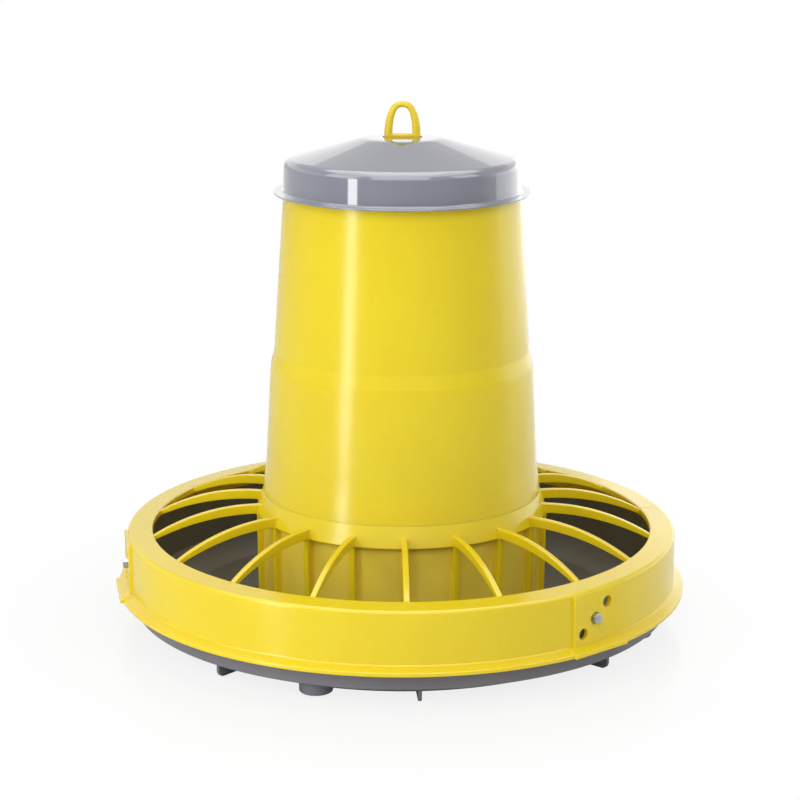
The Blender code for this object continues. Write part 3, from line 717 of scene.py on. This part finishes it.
def barOutline(sizes):
    # an arched bar and the post under its inner end, as (radius, height)
    end = levels["rimTop"] + sizes["crown"] - sizes["barSunk"]
    top = levels["collarTop"] - sizes["barDrop"]
    crest = sizes["collarRadius"] + sizes["barFlat"] * 0.6
    post = sizes["skirtRadius"] + sizes["postReach"]
    foot = levels["skirtBottom"] + sizes["postDraft"]
    chamfer = sizes["postChamfer"]
    upper = crestArc((crest, top), (sizes["rimInner"], end), 26)
    lower = crestArc((crest, top - sizes["barInside"]), (sizes["rimInner"], end - sizes["barOutside"]), 22)
    under = [
        (sizes["rimRadius"] - 0.0015, levels["rimTop"] - 0.0015),
        (sizes["rimRadius"] - 0.0015, lower[-1][1]),
    ]
    inner = [
        (post, lower[0][1], 0.0040),
        (post - sizes["postDraft"], foot + chamfer, 0.0030),
        (sizes["skirtRadius"] + sizes["postDraft"], foot, 0.0012),
        (sizes["skirtRadius"] - 0.00125, foot),
        (sizes["skirtRadius"] - 0.00125, levels["collarBottom"] + 0.0010),
        (sizes["collarTopRadius"] + sizes["barRoot"], levels["collarBottom"] + 0.0035),
        (sizes["collarTopRadius"] + sizes["barRoot"], top),
    ]
    return rounded(upper + under + list(reversed(lower)) + inner)


def makeGuard(sizes):
    outer = sizes["rimRadius"]
    inside = outer - sizes["wall"]
    rimTop = levels["rimTop"]
    low = levels["flange"]
    under = rimTop - sizes["wall"]
    lip = sizes["wall"] / 2
    flange = outer + sizes["flangeReach"]
    rim = rounded([
        (sizes["rimInner"], rimTop + sizes["crown"], 0.0013),
        (outer - sizes["draft"], rimTop, sizes["corner"]),
        (outer, low + sizes["flangeEdge"] + sizes["flangeRise"], 0.0020),
        (flange, low + sizes["flangeEdge"] * 0.92, 0.0012),
        (flange, low, 0.0006),
        (inside, low, 0.0005),
        (inside, under, 0.0015),
        (sizes["rimInner"] + lip, under, 0.0008),
        (sizes["rimInner"] + lip, under - lip, 0.0003),
        (sizes["rimInner"], under - lip, 0.0006),
    ])
    skirt = rounded([
        (sizes["collarTopRadius"], levels["collarTop"], 0.00005),
        (sizes["collarRadius"], levels["collarBottom"] + 0.0004, 0.0011),
        (sizes["skirtRadius"], levels["collarBottom"], 0.0012),
        (sizes["skirtRadius"], levels["skirtBottom"], 0.0009),
        (sizes["skirtInner"], levels["skirtBottom"], 0.0009),
        (sizes["skirtInner"], levels["collarTop"], 0.0004),
    ])
    guard = addPiece("guard", turnedMesh("guard", [rim, skirt]))
    bar = slabMesh("bar", barOutline(sizes), sizes["barThickness"], sizes["barEdge"])
    barPlaces = [facing(2 * pi * i / sizes["barCount"]) for i in range(sizes["barCount"])]
    joinMesh(guard, repeated("bars", bar, barPlaces))

    # faint lines where the bars run on under the rim's top
    fall = sizes["crown"] / (outer - sizes["corner"] - sizes["rimInner"])
    ends = (sizes["rimInner"] + 0.0007, outer - sizes["corner"] * 0.9)
    crest = rimTop + sizes["crown"]
    over = [(r, crest - (r - sizes["rimInner"]) * fall + sizes["rimLineProud"]) for r in ends]
    below = [(r, height - sizes["rimLineSunk"]) for r, height in reversed(over)]
    line = slabMesh("rimLine", over + below, sizes["rimLineWidth"], 0.0002)
    joinMesh(guard, repeated("rimLines", line, barPlaces))

    studs = [facing(angle) for angle in studAngles]
    half = sizes["plateWidth"] / 2
    face = sizes["plateFace"]
    root = outer - sizes["wall"] * 0.8
    plateLow = low + sizes["flangeEdge"]
    plateHigh = rimTop - 0.0021
    plate = slabMesh("plate", rounded([
        (root, -half - sizes["ridge"]),
        (face + sizes["ridgeProud"], -half - sizes["ridge"], 0.0004),
        (face + sizes["ridgeProud"], -half, 0.0004),
        (face, -half, 0.0002),
        (face, half - sizes["plateLine"]),
        (face + sizes["plateLineProud"], half - sizes["plateLine"] * 0.7),
        (face + sizes["plateLineProud"], half - sizes["plateLine"] * 0.2),
        (face, half, 0.0004),
        (root, half),
    ]), plateHigh - plateLow, 0.0004, flat=True)
    plate.transform(Matrix.Translation((0.0, 0.0, (plateLow + plateHigh) / 2)))
    joinMesh(guard, repeated("plates", plate, studs))
    reach = flange + sizes["padReach"]
    edgeTop = low + sizes["flangeEdge"]
    pad = slabMesh("pad", rounded([
        (root, low + 0.0001),
        (reach, low + 0.0001, 0.0005),
        (reach, edgeTop * 0.995, 0.0010),
        (face, edgeTop + sizes["flangeRise"]),
        (root, edgeTop + sizes["flangeRise"]),
    ]), sizes["padWidth"], 0.0005)
    joinMesh(guard, repeated("pads", pad, studs))

    # plain raised rings beside the bolt
    ringRadius = sizes["ringRadius"]
    ring = turnedMesh("ring", [rounded([
        (ringRadius - 0.0004, face - 0.0006),
        (ringRadius + 0.0004, face - 0.0006),
        (ringRadius + 0.0003, face + 0.0002, 0.00015),
        (ringRadius - 0.0003, face + 0.0002, 0.00015),
    ])], 48)
    ring.transform(lying())
    rings = repeated("rings", ring, [Matrix.Translation((0.0, y, z)) for y, z in sizes["ringPlaces"]])
    joinMesh(guard, repeated("rings", rings, studPlaces))

    # a hole's cutter widens to a rounded mouth at the plate's face
    radius = sizes["boreRadius"]
    lipped = sizes["boreEdge"]
    mouth = rounded([
        (0.0, outer - sizes["wall"] * 2),
        (radius, outer - sizes["wall"] * 2),
        (radius, face, lipped * 0.9),
        (radius + lipped * 2, face + lipped * 0.3),
        (radius + lipped * 2, face + sizes["wall"]),
        (0.0, face + sizes["wall"]),
    ], closed=False)
    bore = turnedMesh("bore", [mouth], 60)
    bore.transform(lying())
    holes = [Matrix.Translation((0.0, k * sizes["boreStep"], k * sizes["boreRise"])) for k in (-1, 0, 1)]
    bores = repeated("bores", bore, holes)
    joinMesh(guard, repeated("bores", bores, studPlaces), "DIFFERENCE")

    # bayonet grooves inside the collar
    spread = bayonet["lugSpread"] / 2 + sizes["twistSlack"]
    gap = sizes["turnGap"]
    depth = bayonet["spigot"] + bayonet["lugReach"] + gap
    inner = sizes["skirtInner"] - 0.0025
    lugHeight = bayonet["lugHeight"]
    twist = sizes["twist"]
    run = bandMesh("grooveRun", inner, depth, lugTop - lugHeight - gap, lugTop + gap, -spread, twist + spread)
    # the way in is a hair smaller, so that no two faces of the cutters lie in one plane
    wayIn = bandMesh("grooveWay", inner, depth - 0.0001, lugTop - lugHeight / 2, levels["collarTop"] + 0.0025,
                     twist - spread, twist + spread - radians(0.05))
    for cut in (run, wayIn):
        joinMesh(guard, repeated(cut.name, cut, thirds), "DIFFERENCE")
    finishPiece(guard, yellow, "base", ["guard_grid"])


makeGuard(guardSizes)


# Setting bolts

boltSizes = {
    "headFlats": 0.0080,
    "headHeight": 0.0040,
    "start": 0.2424,
    "shankRadius": 0.0025,
    "shankEnd": 0.22241,
    "pitch": 0.0008,
    "threadDepth": 0.00042,
    "plainNeck": 0.0065,  # without thread, under the head
    "fadeIn": 0.0010,
    "fadeOut": 0.0012,
    "endChamfer": 0.0005,
}


def makeBolts(sizes):
    reach = sizes["headFlats"] / 2 / cos(pi / 6)
    start = sizes["start"]
    end = start + sizes["headHeight"]
    hexagon = [(reach * cos(pi / 3 * i), reach * sin(pi / 3 * i)) for i in range(6)]
    hexMesh = slabMesh("hexagon", hexagon, sizes["headHeight"], flat=True)
    hexMesh.transform(Matrix.Translation((0.0, 0.0, (start + end) / 2)))
    head = addPiece("boltHead", hexMesh)
    dome = turnedMesh("dome", [rounded([
        (0.0, start - 0.0010),
        (reach * 1.1, start - 0.0010),
        (reach * 1.1, end - 0.0008),
        (sizes["headFlats"] / 2 * 0.94, end, 0.0004),
        (0.0, end),
    ], closed=False)], 96)
    joinMesh(head, dome, "INTERSECT")

    # the shank's thread is one helix that fades out below the head
    work = bmesh.new()
    steps = 24
    length = start + sizes["headHeight"] / 2 - sizes["shankEnd"]
    rows = 240
    rings = []
    for i in range(rows + 1):
        along = length * i / rows
        left = start - sizes["plainNeck"] - sizes["shankEnd"] - along
        fade = min(1.0, along / sizes["fadeIn"], max(0.0, left / sizes["fadeOut"]))
        ring = []
        for j in range(steps):
            phase = (along / sizes["pitch"] - j / steps) % 1.0
            radius = sizes["shankRadius"] - sizes["threadDepth"] * abs(phase * 2 - 1) * fade
            if i == 0:
                radius -= sizes["endChamfer"]
            ring.append(work.verts.new((radius * cos(2 * pi * j / steps), radius * sin(2 * pi * j / steps),
                                        sizes["shankEnd"] + along)))
        rings.append(ring)
    for ring, following in zip(rings, rings[1:]):
        for j in range(steps):
            k = (j + 1) % steps
            work.faces.new((ring[j], ring[k], following[k], following[j]))
    work.faces.new(rings[0])
    work.faces.new(rings[-1])
    joinMesh(head, fromWork("shank", work))
    head.data.transform(lying())
    for number, place in enumerate(studPlaces, 1):
        mesh = head.data.copy()
        mesh.transform(place)
        bolt = addPiece("settingBolt" + str(number), mesh)
        finishPiece(bolt, steel, "base", ["setting_bolt_" + str(number)], radians(40.0))
    old = head.data
    bpy.data.objects.remove(head)
    bpy.data.meshes.remove(old)
    for kind in ("bush", "washer", "nut"):
        for number in (1, 2, 3):
            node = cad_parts["setting_" + kind + "_" + str(number)]
            for slot in node.material_slots:
                slot.material = steel


makeBolts(boltSizes)


# Hopper

hopperSizes = {
    "wall": 0.0025,
    "baseRadius": 0.1221,
    "seatGap": 0.00028,  # how far the hopper's foot reaches down to close on the collar
    "flareRadius": 0.1185,
    "flareHeight": 0.0283,
    "waistRadius": 0.1143,
    "waistHeight": 0.1095,
    "waistStep": 0.0035,
    "waistRise": 0.0160,
    "topRadius": 0.1018,
    "neckRadius": 0.0982,
    "spigotDepth": 0.0200,
    "windowLow": 0.3834,
    "windowHigh": 0.3904,
    "windowHalf": 0.0048,
}


def makeHopper(sizes):
    wall = sizes["wall"]
    spigot = bayonet["spigot"]
    bottom = levels["hopperBottom"]
    top = levels["hopperTop"]
    waistFoot = bottom + sizes["waistHeight"]
    waistHead = waistFoot + sizes["waistRise"]
    above = sizes["waistRadius"] - sizes["waistStep"]
    flare = bottom + sizes["flareHeight"]
    outside = [
        (sizes["neckRadius"], levels["neckTop"], 0.0008),
        (sizes["neckRadius"], top, 0.0004),
        (sizes["topRadius"], top, 0.0006),
        (above, waistHead, 0.0014),
        (sizes["waistRadius"] - 0.0005, waistFoot + sizes["waistRise"] * 0.25, 0.0012),
        (sizes["waistRadius"], waistFoot, 0.0010),
        (sizes["flareRadius"], flare, 0.1500),
        (sizes["baseRadius"], bottom - sizes["seatGap"], 0.00005),
        (spigot, bottom - sizes["seatGap"], 0.0003),
        (spigot, bottom - sizes["spigotDepth"], 0.0007),
    ]
    inside = [
        (spigot - wall, bottom - sizes["spigotDepth"], 0.0007),
        (spigot - wall, bottom + wall, 0.0100),
        (sizes["flareRadius"] - wall, flare, 0.0500),
        (sizes["waistRadius"] - wall, waistFoot, 0.0050),
        (above - wall, waistHead, 0.0050),
        (sizes["topRadius"] - wall, top - wall, 0.0010),
        (sizes["neckRadius"] - wall, top - wall, 0.0010),
        (sizes["neckRadius"] - wall, levels["neckTop"], 0.0008),
    ]
    hopper = addPiece("hopperTube", turnedMesh("hopperTube", [rounded(outside + inside)]))
    half = bayonet["lugSpread"] / 2
    lug = bandMesh("lug", spigot - wall / 2, spigot + bayonet["lugReach"], lugTop - bayonet["lugHeight"],
                   lugTop, -half, half)
    joinMesh(hopper, repeated("lugs", lug, thirds))
    reach = sizes["neckRadius"] + wall
    low = sizes["windowLow"]
    high = sizes["windowHigh"] + 0.0003
    window = slabMesh("window", [(-reach, low), (reach, low), (reach, high), (-reach, high)],
                      sizes["windowHalf"] * 2)
    joinMesh(hopper, window, "DIFFERENCE")
    finishPiece(hopper, yellow, "hopper", ["hopper"])


makeHopper(hopperSizes)


# Lid

lidSizes = {
    "wall": 0.0022,
    "inner": 0.0990,
    "radius": 0.1012,
    "draft": 0.0006,
    "cornerHeight": 0.02885,  # where the cone would meet the wall, above the lid's bottom
    "shoulder": 0.0081,
    "flatRadius": 0.0335,
    "brimReach": 0.0090,
    "brimThickness": 0.0013,
    "brimFillet": 0.0022,
    "slotHalfWidth": 0.0166,
    "slotHalfDepth": 0.0055,
}


def makeLid(sizes):
    bottom = levels["lidBottom"]
    flat = levels["lidFlat"]
    radius = sizes["radius"]
    brim = bottom + sizes["brimThickness"]
    reach = radius + sizes["brimReach"]
    corner = bottom + sizes["cornerHeight"]
    slope = (flat - corner) / (radius - sizes["flatRadius"])
    innerCorner = corner + (radius - sizes["inner"]) * slope - sizes["wall"] * hypot(1.0, slope)
    path = rounded([
        (0.0, flat),
        (sizes["flatRadius"], flat, 0.0300),
        (radius, corner, sizes["shoulder"]),
        (radius + sizes["draft"], brim, sizes["brimFillet"]),
        (reach, brim, 0.0005),
        (reach, bottom, 0.0005),
        (sizes["inner"] + sizes["draft"], bottom, 0.0004),
        (sizes["inner"], innerCorner, sizes["shoulder"] - sizes["wall"]),
        (sizes["flatRadius"], flat - sizes["wall"], 0.0300),
        (0.0, flat - sizes["wall"]),
    ], closed=False, step=radians(9.0))
    lid = addPiece("lidCap", turnedMesh("lidCap", [path]))
    width = sizes["slotHalfWidth"]
    depth = sizes["slotHalfDepth"]
    slot = slabMesh("slot", rounded([(-width, -depth, 0.0008), (width, -depth, 0.0008), (width, depth, 0.0008),
                                     (-width, depth, 0.0008)]), 0.0200, flat=True)
    slot.transform(Matrix.Translation((0.0, 0.0, flat)))
    joinMesh(lid, slot, "DIFFERENCE")
    finishPiece(lid, lidGrey, "lid", ["lid"])


makeLid(lidSizes)


# Hanger

hangerSizes = {
    "depth": 0.0090,
    "barLow": 0.3834,
    "barHigh": 0.3904,
    "reach": 0.0986,
    "neckHalf": 0.0150,
    "neckProud": 0.0024,
    "gusset": 0.0431,
    "loopHalf": 0.0156,
    "loopHeight": 0.0303,
    "loopThickness": 0.0072,
    "crownShare": 0.72,
    "squareness": 2.6,
}


def loopMesh(sizes):
    # a tube swept along the arch, thinner at its crown, flattened a little front to back
    crown = sizes["loopThickness"] / 2 * sizes["crownShare"]
    foot = levels["lidFlat"] - sizes["loopThickness"] / 2
    rise = levels["lidFlat"] + sizes["loopHeight"] - crown - foot
    half = sizes["loopHalf"] - sizes["loopThickness"] / 2
    power = 2 / sizes["squareness"]
    route = []
    steps = 72
    for i in range(steps + 1):
        angle = pi * i / steps
        across = half * abs(cos(angle)) ** power
        up = abs(sin(angle)) ** power
        if angle < pi / 2:
            across = -across
        route.append((Vector((across, 0.0, foot + rise * up)), 1 - (1 - sizes["crownShare"]) * up * up))
    work = bmesh.new()
    rings = []
    around = 40
    for i, (point, share) in enumerate(route):
        along = (route[min(i + 1, steps)][0] - route[max(i - 1, 0)][0]).normalized()
        side = Vector((-along.z, 0.0, along.x))
        ring = []
        for j in range(around):
            angle = 2 * pi * j / around
            radius = sizes["loopThickness"] / 2 * share
            offset = side * radius * cos(angle) + Vector((0.0, sizes["depth"] / 2 * share * sin(angle), 0.0))
            ring.append(work.verts.new(point + offset))
        rings.append(ring)
    for ring, following in zip(rings, rings[1:]):
        for j in range(around):
            k = (j + 1) % around
            work.faces.new((ring[j], ring[k], following[k], following[j]))
    work.faces.new(rings[0])
    work.faces.new(rings[-1])
    return fromWork("loop", work)


def makeHanger(sizes):
    low = sizes["barLow"]
    high = sizes["barHigh"]
    flat = levels["lidFlat"]
    right = [
        (sizes["reach"], low, 0.0008),
        (sizes["reach"], high, 0.0010),
        (sizes["gusset"], high, 0.0060),
        (sizes["neckHalf"], flat - 0.0066, 0.0040),
        (sizes["neckHalf"], flat + sizes["neckProud"], 0.0012),
    ]
    left = [(-x, z, radius) for x, z, radius in reversed(right)]
    yoke = addPiece("hanger", slabMesh("hanger", rounded(right + left), sizes["depth"] * 0.96, 0.0009))
    joinMesh(yoke, loopMesh(sizes))
    finishPiece(yoke, hangerYellow, "hopper", ["hanger_yoke"], radians(45.0))


makeHanger(hangerSizes)


# Floor, world and lamps

studio = {
    "ambient": 0.42,
    "backWall": 1.20,
    "ceiling": 0.85,
    "room": 0.42,
    "upperRoom": 0.40,
    "skylight": 2.40,
    "nearGlow": 0.84,
    "fadeStart": 0.25,
    "fadeEnd": 0.42,
    "floorColour": (0.80, 0.80, 0.80),
    "floorMottle": (0.78, 0.78, 0.78),
    "floorRoughness": 0.12,
    # spans of a direction's X, Y or Z over which one wall gives way to the next
    "wallFrom": (-0.25, 0.15),
    "leftFrom": (-0.15, -0.40),
    "leftUnder": (0.16, 0.06),
    "leftShare": 0.7,
    "ceilingFrom": (0.415, 0.425),
    "upperFrom": (0.18, 0.30),
    "skylightFrom": (0.70, 0.80),
}


def makeStage(settings):
    work = bmesh.new()
    bmesh.ops.create_grid(work, x_segments=1, y_segments=1, size=6.0)
    floor = addPiece("floor", fromWork("floor", work))
    floor.location.z = -0.0004
    material, finish, shader = newMaterial("paleFloor")
    place = finish.place()
    mottle = finish.tint(finish.noise(place, 40.0, 3.0), shade(settings["floorColour"]),
                         shade(settings["floorMottle"]))
    finish.connect(shader, {"Base Color": mottle, "Roughness": settings["floorRoughness"]})
    # white to the camera away from the object, and near it the shadow shows
    away = finish.length(place)
    share = finish.between(away, settings["fadeStart"], settings["fadeEnd"], settings["nearGlow"], 1.0)
    seen = finish.node("ShaderNodeLightPath", output="Is Camera Ray")
    glow = finish.node("ShaderNodeEmission", {}, {"Color": white, "Strength": 1.0})
    lit = Wire(finish, shader.outputs[0])
    mixed = finish.node("ShaderNodeMixShader", {}, {0: seen * share, 1: lit, 2: glow})
    finish.connect(material.node_tree.nodes["Material Output"], {"Surface": mixed})
    floor.data.materials.append(material)

    world = bpy.data.worlds.new("studio")
    world.use_nodes = True
    bpy.context.scene.world = world
    finish = Finish(world.node_tree)
    seen, glossy, clear = (finish.node("ShaderNodeLightPath", output="Is " + kind + " Ray")
                           for kind in ("Camera", "Glossy", "Transmission"))
    shiny = glossy.maths("MAXIMUM", glossy, clear)
    # what gloss shows: a white wall behind with a greyer ceiling over it, a dimmer room in front, a darker
    # patch low at the left, and a skylight
    heading = finish.node("ShaderNodeTexCoord", output="Generated")
    across, inward, up = (finish.part(heading, axis) for axis in "XYZ")
    behind = finish.between(inward, *settings["wallFrom"])
    lowLeft = finish.between(across, *settings["leftFrom"], 0.0, settings["leftShare"])
    lowLeft = lowLeft * finish.between(up, *settings["leftUnder"])
    above = finish.between(up, *settings["ceilingFrom"])
    back = settings["backWall"] + above * (settings["ceiling"] - settings["backWall"])
    front = settings["room"] + finish.between(up, *settings["upperFrom"]) * settings["upperRoom"]
    room = front + behind * (1 - lowLeft) * (back - front)
    room = room + finish.between(up, *settings["skylightFrom"]) * settings["skylight"]
    strength = seen + (1 - seen) * (shiny * room + (1 - shiny) * settings["ambient"])
    finish.connect(world.node_tree.nodes["Background"], {"Color": white, "Strength": strength})


# Each lamp stands facing the feeder's axis: degrees round from the front, metres away, its low and high
# edges, its width, and how bright its face is, where 1 is white paper in this light
lampSettings = {
    "strip": (-47.0, 1.00, 0.00, 0.60, 0.160, 7.4),
    "leftSoft": (-64.0, 2.20, 0.90, 2.30, 1.40, 2.2),
    "frontSoft": (-3.0, 2.60, 1.30, 3.10, 3.00, 2.1),
    "rightSoft": (66.0, 2.40, 1.20, 2.40, 1.20, 2.2),
    "rightBack": (133.0, 1.60, 0.00, 0.75, 2.20, 0.95),
}
overhead = {"place": (0.0, 0.0, 2.6), "size": (1.6, 1.6), "bright": 1.2}
highestAim = 0.85  # lamps that stand higher look down to here


def makeLamp(name, place, aim, size, bright):
    light = bpy.data.lights.new(name, "AREA")
    light.shape = "RECTANGLE"
    light.size, light.size_y = size
    light.energy = bright * pi * size[0] * size[1]
    lamp = bpy.data.objects.new(name, light)
    lamp.location = place
    lamp.rotation_euler = (Vector(aim) - Vector(place)).to_track_quat("-Z", "Y").to_euler()
    lamp.visible_camera = False
    bpy.context.scene.collection.objects.link(lamp)


def makeLamps():
    for name, (azimuth, distance, low, high, width, bright) in lampSettings.items():
        angle = radians(azimuth)
        middle = (low + high) / 2
        place = (distance * sin(angle), -distance * cos(angle), middle)
        makeLamp(name, place, (0.0, 0.0, min(middle, highestAim)), (width, high - low), bright)
    place = overhead["place"]
    makeLamp("overhead", place, (place[0], place[1], 0.0), overhead["size"], overhead["bright"])


makeStage(studio)
makeLamps()
bpy.context.scene.view_settings.view_transform = "Standard"
print("studio lit")
